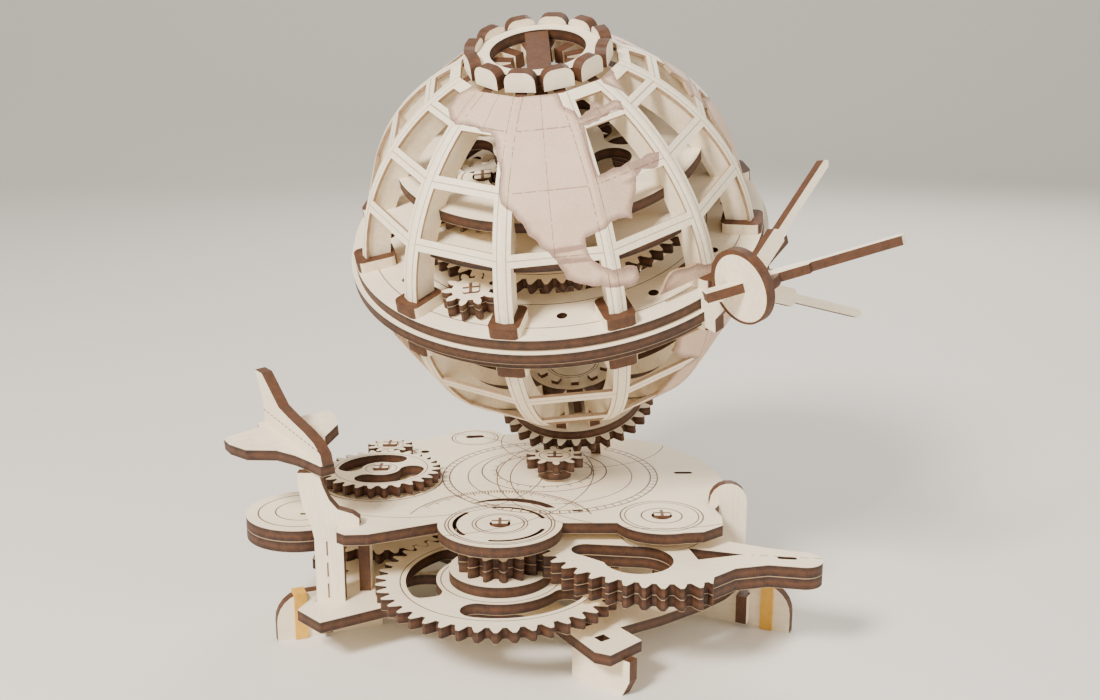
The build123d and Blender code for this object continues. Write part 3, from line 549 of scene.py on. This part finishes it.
RIB_STEP = 30.0
FIRST_RIB = -16.1
flat_sheet("equator_upper_plate", AXIS, grain=(0.12, 2.2, 2.2), engraved=globe_rings((60.5, 0.3), (48.6, 0.3)))
flat_sheet("equator_lower_plate", AXIS, grain=(0.12, 2.2, 2.2))
flat_sheet("equator_spacers", AXIS, grain=(0.12, 2.2, 2.2))
flat_sheet("orbit_ring", AXIS, grain=(0.12, 2.2, 2.2))
for number in (1, 2):
    place = axle_at[f"planet_{number}_spin"]
    flat_sheet(f"planet_ring_pinion_{number}", AXIS)
    flat_sheet(f"planet_sun_pinion_{number}", AXIS)
    dress(f"planet_axle_{number}", axle_finish(f"planet_axle_{number}_bar", place, AXIS, FRONT))

# ---------------------------------------------------------------- Great gear, bridges and upper gear
# The great gear is fixed to the post. Over it two bridge plates turn with the globe and hold the upper
# gear, which rolls round a small fixed pinion.

flat_sheet("great_gear", AXIS, grain=(0.12, 2.2, 2.2), engraved=globe_rings((41.0, 0.35), (22.4, 0.35)))
flat_sheet("upper_sun_pinion", AXIS)


def boss_marks(finish):
    from_boss = finish.vector("SUBTRACT", finish.spot, axle_at["upper_spin"])
    sideways = finish.vector("CROSS_PRODUCT", AXIS, from_boss)
    distance = finish.dot(sideways, sideways).root()
    return (distance - 6.4).line(0.4).greater((distance - 8.0).line(0.3))


for node in ("bridge_lower", "bridge_upper"):
    flat_sheet(node, AXIS, grain=(0.12, 2.2, 2.2), engraved=boss_marks)
flat_sheet("upper_gear", AXIS, grain=(2.2, 0.12, 2.2))
dress("upper_axle", axle_finish("upper_axle_bar", axle_at["upper_spin"], AXIS, FRONT))

# ---------------------------------------------------------------- Top ring, petals and pole plates
# The ribs end in a flat ring with a crown of upright keystones round it. Two plates stand back to back
# across its hole, over the end of the post.


def outwards(finish):
    """How squarely a face looks straight away from the globe's axis."""
    from_heart = finish.vector("SUBTRACT", finish.spot, HEART * 1000)
    up = finish.vector("SCALE", AXIS, scale=finish.dot(from_heart, AXIS).socket)
    away = finish.vector("NORMALIZE", finish.vector("SUBTRACT", from_heart, up))
    return abs(finish.dot(finish.normal, away))


flat_sheet("top_ring", AXIS, grain=(0.12, 2.2, 2.2))
dress("top_petals", plywood("top_petals_ply", outwards, grain=(0.6, 0.6, 0.6)))
dress("pole_plates", plywood("pole_plates_ply", facing(RIGHT), grain=(0.6, 0.6, 0.6)))

# ---------------------------------------------------------------- Gores
# The globe's skin: twelve thin sheets above the equator and twelve below. Each is bent over two ribs and
# cut out to two strips with three bars across, but solid where land is printed, which has a dark coast.

SPHERE = 64.5
ACROSS = SPHERE * math.cos(math.radians(RIB_STEP / 2))
HALF_GORE = math.tan(math.radians(RIB_STEP / 2))
SKIN = 1.0
BAR = 3.9
BAND_APEX = 2.7 / math.sin(math.radians(RIB_STEP / 2))
BARS = (23.3, 40.3, 56.8)
ROW = 3.0              # degrees between two rows of points
PER_DEGREE = 63.6 * math.pi / 180

NORTH_AMERICA = [
    (-37, 69), (-56.5, 69), (-63, 63), (-60, 59), (-53, 57), (-44.5, 56.5), (-36, 56.7), (-26.5, 55.7),
    (-22.7, 53.7), (-21, 50.1), (-18, 45.6), (-16.8, 38), (-12.8, 35.5), (-9.6, 32.2), (-8.3, 29.4),
    (-5.8, 27.8), (-2.3, 24.2), (0.2, 20.3), (1.5, 17.4), (4.2, 16.2), (7.8, 15), (10.4, 15), (12.8, 14),
    (16.4, 13.5), (19.2, 12.3), (21.4, 14), (21.2, 17), (17.8, 18), (13.8, 18.8), (11.2, 20.2), (8.7, 22.6),
    (8, 25), (8.3, 27.6), (12, 28.6), (14.4, 29.2), (16.6, 30.4), (19.6, 30.3), (23.5, 29), (25, 32.2),
    (28, 35.4), (29.8, 38.6), (33, 39.8), (38.5, 38.8), (42, 42.3), (35, 42.4), (29, 42.8), (16.5, 42.3),
    (18.2, 56), (28, 56.4), (40.5, 56), (42.6, 59), (32.6, 59.3), (28.4, 62), (23.5, 59.6), (17.5, 58.6),
    (16.7, 60.8), (11.4, 63.3), (10.4, 69)]
SOUTH_AMERICA = [
    (26, 5), (28, 8), (31.5, 11.5), (40, 11), (49, 6.5), (57, 0.5), (66, -4), (70, -8), (66, -15), (62, -23),
    (54, -28), (50, -35), (44, -41), (38, -48), (33, -53), (31, -55), (30, -48), (32, -39), (33.5, -30),
    (35, -26), (41, -23), (35.5, -19.5), (31, -14.5), (32.5, -9), (28.5, -2)]
AFRICA = [
    (84, 35), (96, 37), (108, 33), (118, 31), (130, 31), (136, 24), (143, 12), (149, 11), (144, 4), (137, -5),
    (137, -15), (132, -24), (125, -34), (116, -34), (113, -24), (110, -14), (110, -3), (104, 4), (92, 5),
    (82, 10), (80, 18), (82, 27)]
EURASIA = [
    (88, 37), (88, 43), (96, 45), (96, 50), (106, 54), (108, 60), (120, 64), (130, 66), (145, 68), (165, 71),
    (190, 72), (215, 71), (240, 69), (262, 66), (258, 61), (254, 54), (246, 58), (238, 54), (232, 46),
    (224, 40), (219, 34), (217, 25), (207, 21), (203, 12), (198, 3), (194, 9), (190, 20), (183, 20), (177, 8),
    (170, 20), (163, 25), (154, 26), (156, 18), (147, 13), (139, 22), (134, 31), (132, 37), (122, 38),
    (119, 44), (110, 40), (104, 43), (98, 38)]
AUSTRALIA = [
    (211, -22), (220, -18), (228, -12), (236, -15), (239, -11), (243, -20), (250, -28), (247, -38), (238, -37),
    (230, -32), (218, -34), (212, -32)]
GREENLAND = [(46.7, 69.7), (43.3, 66), (49.6, 58.7), (54.8, 64.4), (64, 68.8), (65, 70)]

dice = random.Random(11)


def coast(points, rounds=2):
    """An outline with every side broken up into small bays and capes."""
    for _ in range(rounds):
        finer = []
        for here, there in zip(points, points[1:] + points[:1]):
            side = Vector(there) - Vector(here)
            nudge = Vector((-side.y, side.x)) * dice.uniform(-0.09, 0.09)
            middle = Vector(here) + side / 2 + (nudge if side.length < 14 else nudge * 0.4)
            finer += [tuple(here), tuple(middle)]
        points = finer
    return points


LANDS = [coast(outline) for outline in (NORTH_AMERICA, SOUTH_AMERICA, AFRICA, EURASIA, AUSTRALIA, GREENLAND)]


def off_axis(latitude):
    return ACROSS * math.cos(math.radians(latitude))


def across_strip(half, low, high):
    """The outline of a strip between two latitudes; half gives its half-width at a latitude."""
    steps = max(2, round((high - low) / ROW))
    levels = [low + (high - low) * i / steps for i in range(steps + 1)]
    right = [(half(a), a * PER_DEGREE) for a in levels]
    return right + [(-x, s) for x, s in reversed(right)]


def from_edge(point, outline):
    """The distance from a point to the nearest side of an outline."""
    nearest = 1e9
    for start, end in zip(outline, outline[1:] + outline[:1]):
        side = Vector(end) - Vector(start)
        share = max(0.0, min(1.0, (point - Vector(start)).dot(side) / max(side.length_squared, 1e-9)))
        nearest = min(nearest, (Vector(start) + side * share - point).length)
    return nearest


def turned_left(loop):
    """The same outline, run through against the clock."""
    area = sum(a[0] * b[1] - b[0] * a[1] for a, b in zip(loop, loop[1:] + loop[:1]))
    return loop if area > 0 else loop[::-1]


def gore(middle, bottom, top_level, half_of_globe):
    """One flat gore as points, triangles, land marks and coast distances, bent onto the globe."""
    low = math.degrees(math.asin(bottom / SPHERE))
    top = math.degrees(math.asin(top_level / SPHERE))
    outline = across_strip(lambda a: off_axis(a) * HALF_GORE, low, top)
    levels = [bottom - 1]
    for latitude in BARS:
        bar = SPHERE * math.sin(math.radians(latitude))
        half_bar = BAR / 2 * math.cos(math.radians(latitude))
        levels += [bar - half_bar, bar + half_bar]
    levels.append(top_level - 1.6)
    angles = [math.degrees(math.asin(z / SPHERE)) for z in levels]
    windows = [across_strip(lambda a: (off_axis(a) - BAND_APEX) * HALF_GORE, a, b)
               for a, b in zip(angles[::2], angles[1::2])]
    lands = []
    for land in LANDS:
        turned = [((lon - middle + 180) % 360 - 180, lat * half_of_globe) for lon, lat in land]
        if max(a for a, b in turned) - min(a for a, b in turned) > 200:
            continue
        if min(abs(a) for a, b in turned) > 40 and max(a for a, b in turned) * min(a for a, b in turned) > 0:
            continue
        held = [(max(-70, min(70, lon)), lat) for lon, lat in turned]
        lands.append([(off_axis(lat) * math.tan(math.radians(lon)), lat * PER_DEGREE) for lon, lat in held])
    loops = [turned_left(loop) for loop in [outline] + windows + lands]
    points, faces, edges = [], [], []
    for loop in loops:
        faces.append(list(range(len(points), len(points) + len(loop))))
        points += [Vector(p) for p in loop]
    row = math.ceil(low / ROW) * ROW
    while row < top:
        half = off_axis(row) * HALF_GORE
        count = max(2, round(2 * half / 3))
        first = len(points)
        points += [Vector((-half + 2 * half * i / count, row * PER_DEGREE)) for i in range(count + 1)]
        edges += [(first + i, first + i + 1) for i in range(count)]
        row += ROW
    spots, _, tiles, _, _, owners = delaunay_2d_cdt(points, edges, faces, 1, 1e-5)
    kept = []
    for tile, owner in zip(tiles, owners):
        on_land = any(o > len(windows) for o in owner)
        if 0 in owner and (on_land or not any(1 <= o <= len(windows) for o in owner)):
            kept.append((tile, on_land))
    shores = [min([from_edge(spot, land) for land in lands] or [99.0]) for spot in spots]
    place = Matrix.Rotation(math.radians(middle), 4, "Z")
    bent = []
    for spot in spots:
        latitude = spot.y / PER_DEGREE
        rise = SPHERE * math.sin(math.radians(latitude)) * half_of_globe
        bent.append(place @ Vector((off_axis(latitude), spot.x, rise)))
    return bent, kept, shores


def skin(name, bottom, top_level, half_of_globe):
    """All gores of one half of the globe as one piece, without thickness; the caller makes them thick inwards."""
    points, triangles, marks, shores = [], [], [], []
    for index in range(12):
        bent, kept, near = gore(FIRST_RIB + RIB_STEP * (index + 0.5), bottom, top_level, half_of_globe)
        used = sorted({v for tile, _ in kept for v in tile})
        new_index = {v: len(points) + i for i, v in enumerate(used)}
        points += [bent[v] for v in used]
        shores += [near[v] for v in used]
        for tile, on_land in kept:
            corners = [new_index[v] for v in tile]
            a, b, c = (points[v] for v in corners[:3])
            if (b - a).cross(c - a).dot(Vector((a.x, a.y, 0))) < 0:
                corners.reverse()
            triangles.append(corners)
            marks.append(int(on_land))
    mesh = bpy.data.meshes.new(name)
    mesh.from_pydata([p * 0.001 for p in points], [], triangles)
    mesh.polygons.foreach_set("material_index", marks)
    shore = mesh.attributes.new("shore", "FLOAT", "POINT")
    shore.data.foreach_set("value", shores)
    mesh.transform(GLOBE)
    mesh.update()
    piece = bpy.data.objects.new(name, mesh)
    bpy.context.scene.collection.objects.link(piece)
    return piece


def gore_lines(finish):
    """Fine lines along the frame of each gore and along the middle of its bars."""
    ahead, right, up = around_axis(finish)
    turn = ((finish.angle(right, ahead) - FIRST_RIB) % RIB_STEP - RIB_STEP / 2) / 57.29578
    away = (ahead * ahead + right * right).root()
    sideways = abs(turn.math("SINE", turn) * away)
    edge = away * turn.math("COSINE", turn) * HALF_GORE - sideways
    lines = (edge - 1.4).line(0.3)
    for latitude in BARS:
        level = SPHERE * math.sin(math.radians(latitude))
        lines = lines.greater((abs(up) - level).line(0.25) * (edge > 1.4))
    return lines, sideways


def gore_sheet(name, printed):
    """The thin sheet: pale and plain, or printed as land with specks and a dark coast."""
    finish = Finish(name, 0.6)
    pale, streaks = veneer(finish, (0.7, 0.7, 0.7))
    lines, sideways = gore_lines(finish)
    broken = finish.clouds((1, 1, 1), 0.8, 1.0).above(0.40, 0.1)
    if printed:
        lines = lines.greater(sideways.line(0.22)) * broken
        specks = finish.clouds((1, 1, 1), 2.2, 3.0, 0.7)
        patches = finish.clouds((1, 1, 1), 0.09, 3.0)
        print_tone = ((specks - 0.5) * 1.5 + (patches - 0.5) * 0.9 + 0.42).limited()
        pale = finish.mixed(print_tone, (0.74, 0.54, 0.38, 1), (0.52, 0.33, 0.225, 1))
        shore = Amount(finish, finish.node("ShaderNodeAttribute", {"attribute_name": "shore"}).outputs["Fac"])
        wobble = finish.clouds((1, 1, 1), 0.6, 2.0)
        dark = (1 - (shore - wobble * 0.8) / 1.6).limited()
        pale = finish.mixed(dark * (0.45 + specks * 0.5), pale, (0.19, 0.095, 0.075, 1))
    finish.colour(finish.mixed(lines * 0.6, pale, SCORCH))
    finish.bump(streaks * 0.15 - lines, 0.00015, 0.4)
    return finish.material


cut_edge = Finish("gore_edge", 0.6)
cut_clouds = cut_edge.clouds((1, 1, 1), 0.7, 2.0)
cut_edge.colour(cut_edge.mixed(cut_clouds, (0.30, 0.16, 0.075, 1), (0.56, 0.40, 0.25, 1)))
plain_sheet = gore_sheet("plain_gore", False)
land_sheet = gore_sheet("printed_land", True)

# Name, node, the levels between which the gores stand above or below the equator, and which half it is
HALVES = (("gores_north", "north_gores", 7.6, 59.6, 1), ("gores_south", "south_gores", 11.2, 58.8, -1))
for name, node, bottom, top_level, half_of_globe in HALVES:
    piece = skin(name, bottom, top_level, half_of_globe)
    for material in (plain_sheet, land_sheet, cut_edge.material, cut_edge.material, plain_sheet, plain_sheet):
        piece.data.materials.append(material)
    bpy.ops.object.select_all(action="DESELECT")
    bpy.context.view_layer.objects.active = piece
    piece.select_set(True)
    thick = piece.modifiers.new("thickness", "SOLIDIFY")
    thick.thickness = SKIN * 0.001
    thick.offset = -1
    thick.material_offset_rim = 2
    thick.material_offset = 4
    bpy.ops.object.modifier_apply(modifier=thick.name)
    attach(piece, "globe")
    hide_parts(node)

# ---------------------------------------------------------------- Satellite
# Round plates slotted into each other make a ball, and two crossed pairs of whips trail from it. A clip
# holds it on the rim of the orbit ring.

satellite_low, satellite_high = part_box("satellite_ball")
BALL = (satellite_low + satellite_high) * 500
TRAIL = Vector((0.785, 0.573, 0.236)).normalized()
FLANK = Vector((0.46, -0.80, 0.10))
FLANK = (FLANK - TRAIL * FLANK.dot(TRAIL)).normalized()
BACK = TRAIL.cross(FLANK)


def squarest(*directions):
    """How squarely a face looks along the best of a few directions."""
    def faces(finish):
        total = abs(finish.dot(finish.normal, directions[0]))
        for direction in directions[1:]:
            total = total.greater(abs(finish.dot(finish.normal, direction)))
        return total
    return faces


def ball_faces(finish):
    reach = finish.vector("SUBTRACT", finish.spot, BALL)
    rim = finish.dot(reach, reach).root() > 10.4
    best = squarest(TRAIL, (FLANK + BACK).normalized(), (FLANK - BACK).normalized())(finish)
    return best * (1 - rim)


dress("satellite_ball", plywood("satellite_ball_ply", ball_faces, grain=(0.6, 0.6, 0.6)))
def whip_faces(finish):
    """The power keeps the whips' slanted edges, which look partly along the faces, from passing as faces."""
    return squarest(FLANK, BACK)(finish) ** 5


dress("satellite_antennas", plywood("satellite_whips_ply", whip_faces, grain=(0.4, 0.4, 2.0)))
CLIP_TURN = math.radians(38)
CLIP_SIDE = RIGHT * math.cos(CLIP_TURN) - FRONT * math.sin(CLIP_TURN)
dress("satellite_bracket", plywood("satellite_bracket_ply", facing(CLIP_SIDE), grain=(1, 1, 1)))

# ---------------------------------------------------------------- Shuttle
# A side profile with a tail fin, plugged through a flat delta wing, perched on the left leg's arm.

AFT = Vector((-0.529, 0.848, 0.038)).normalized()
LIFT = Vector((-0.072, -0.09, 0.993))
LIFT = (LIFT - AFT * LIFT.dot(AFT)).normalized()
STARBOARD = LIFT.cross(AFT)


def hull_marks(finish):
    """A row of dashes along the side."""
    along = finish.dot(finish.spot, AFT)
    low = min(v.co.dot(LIFT) for v in frame["nodes"]["shuttle_fuselage"].data.vertices) * 1000
    up = finish.dot(finish.spot, LIFT) - low
    return (up - 4.2).line(0.4) * (along % 3.2).above(1.2, 0.3)


dress("shuttle_fuselage", plywood("shuttle_fuselage_ply", facing(STARBOARD), engraved=hull_marks))
flat_sheet("shuttle_wing", LIFT, grain=(0.3, 0.3, 2.0))
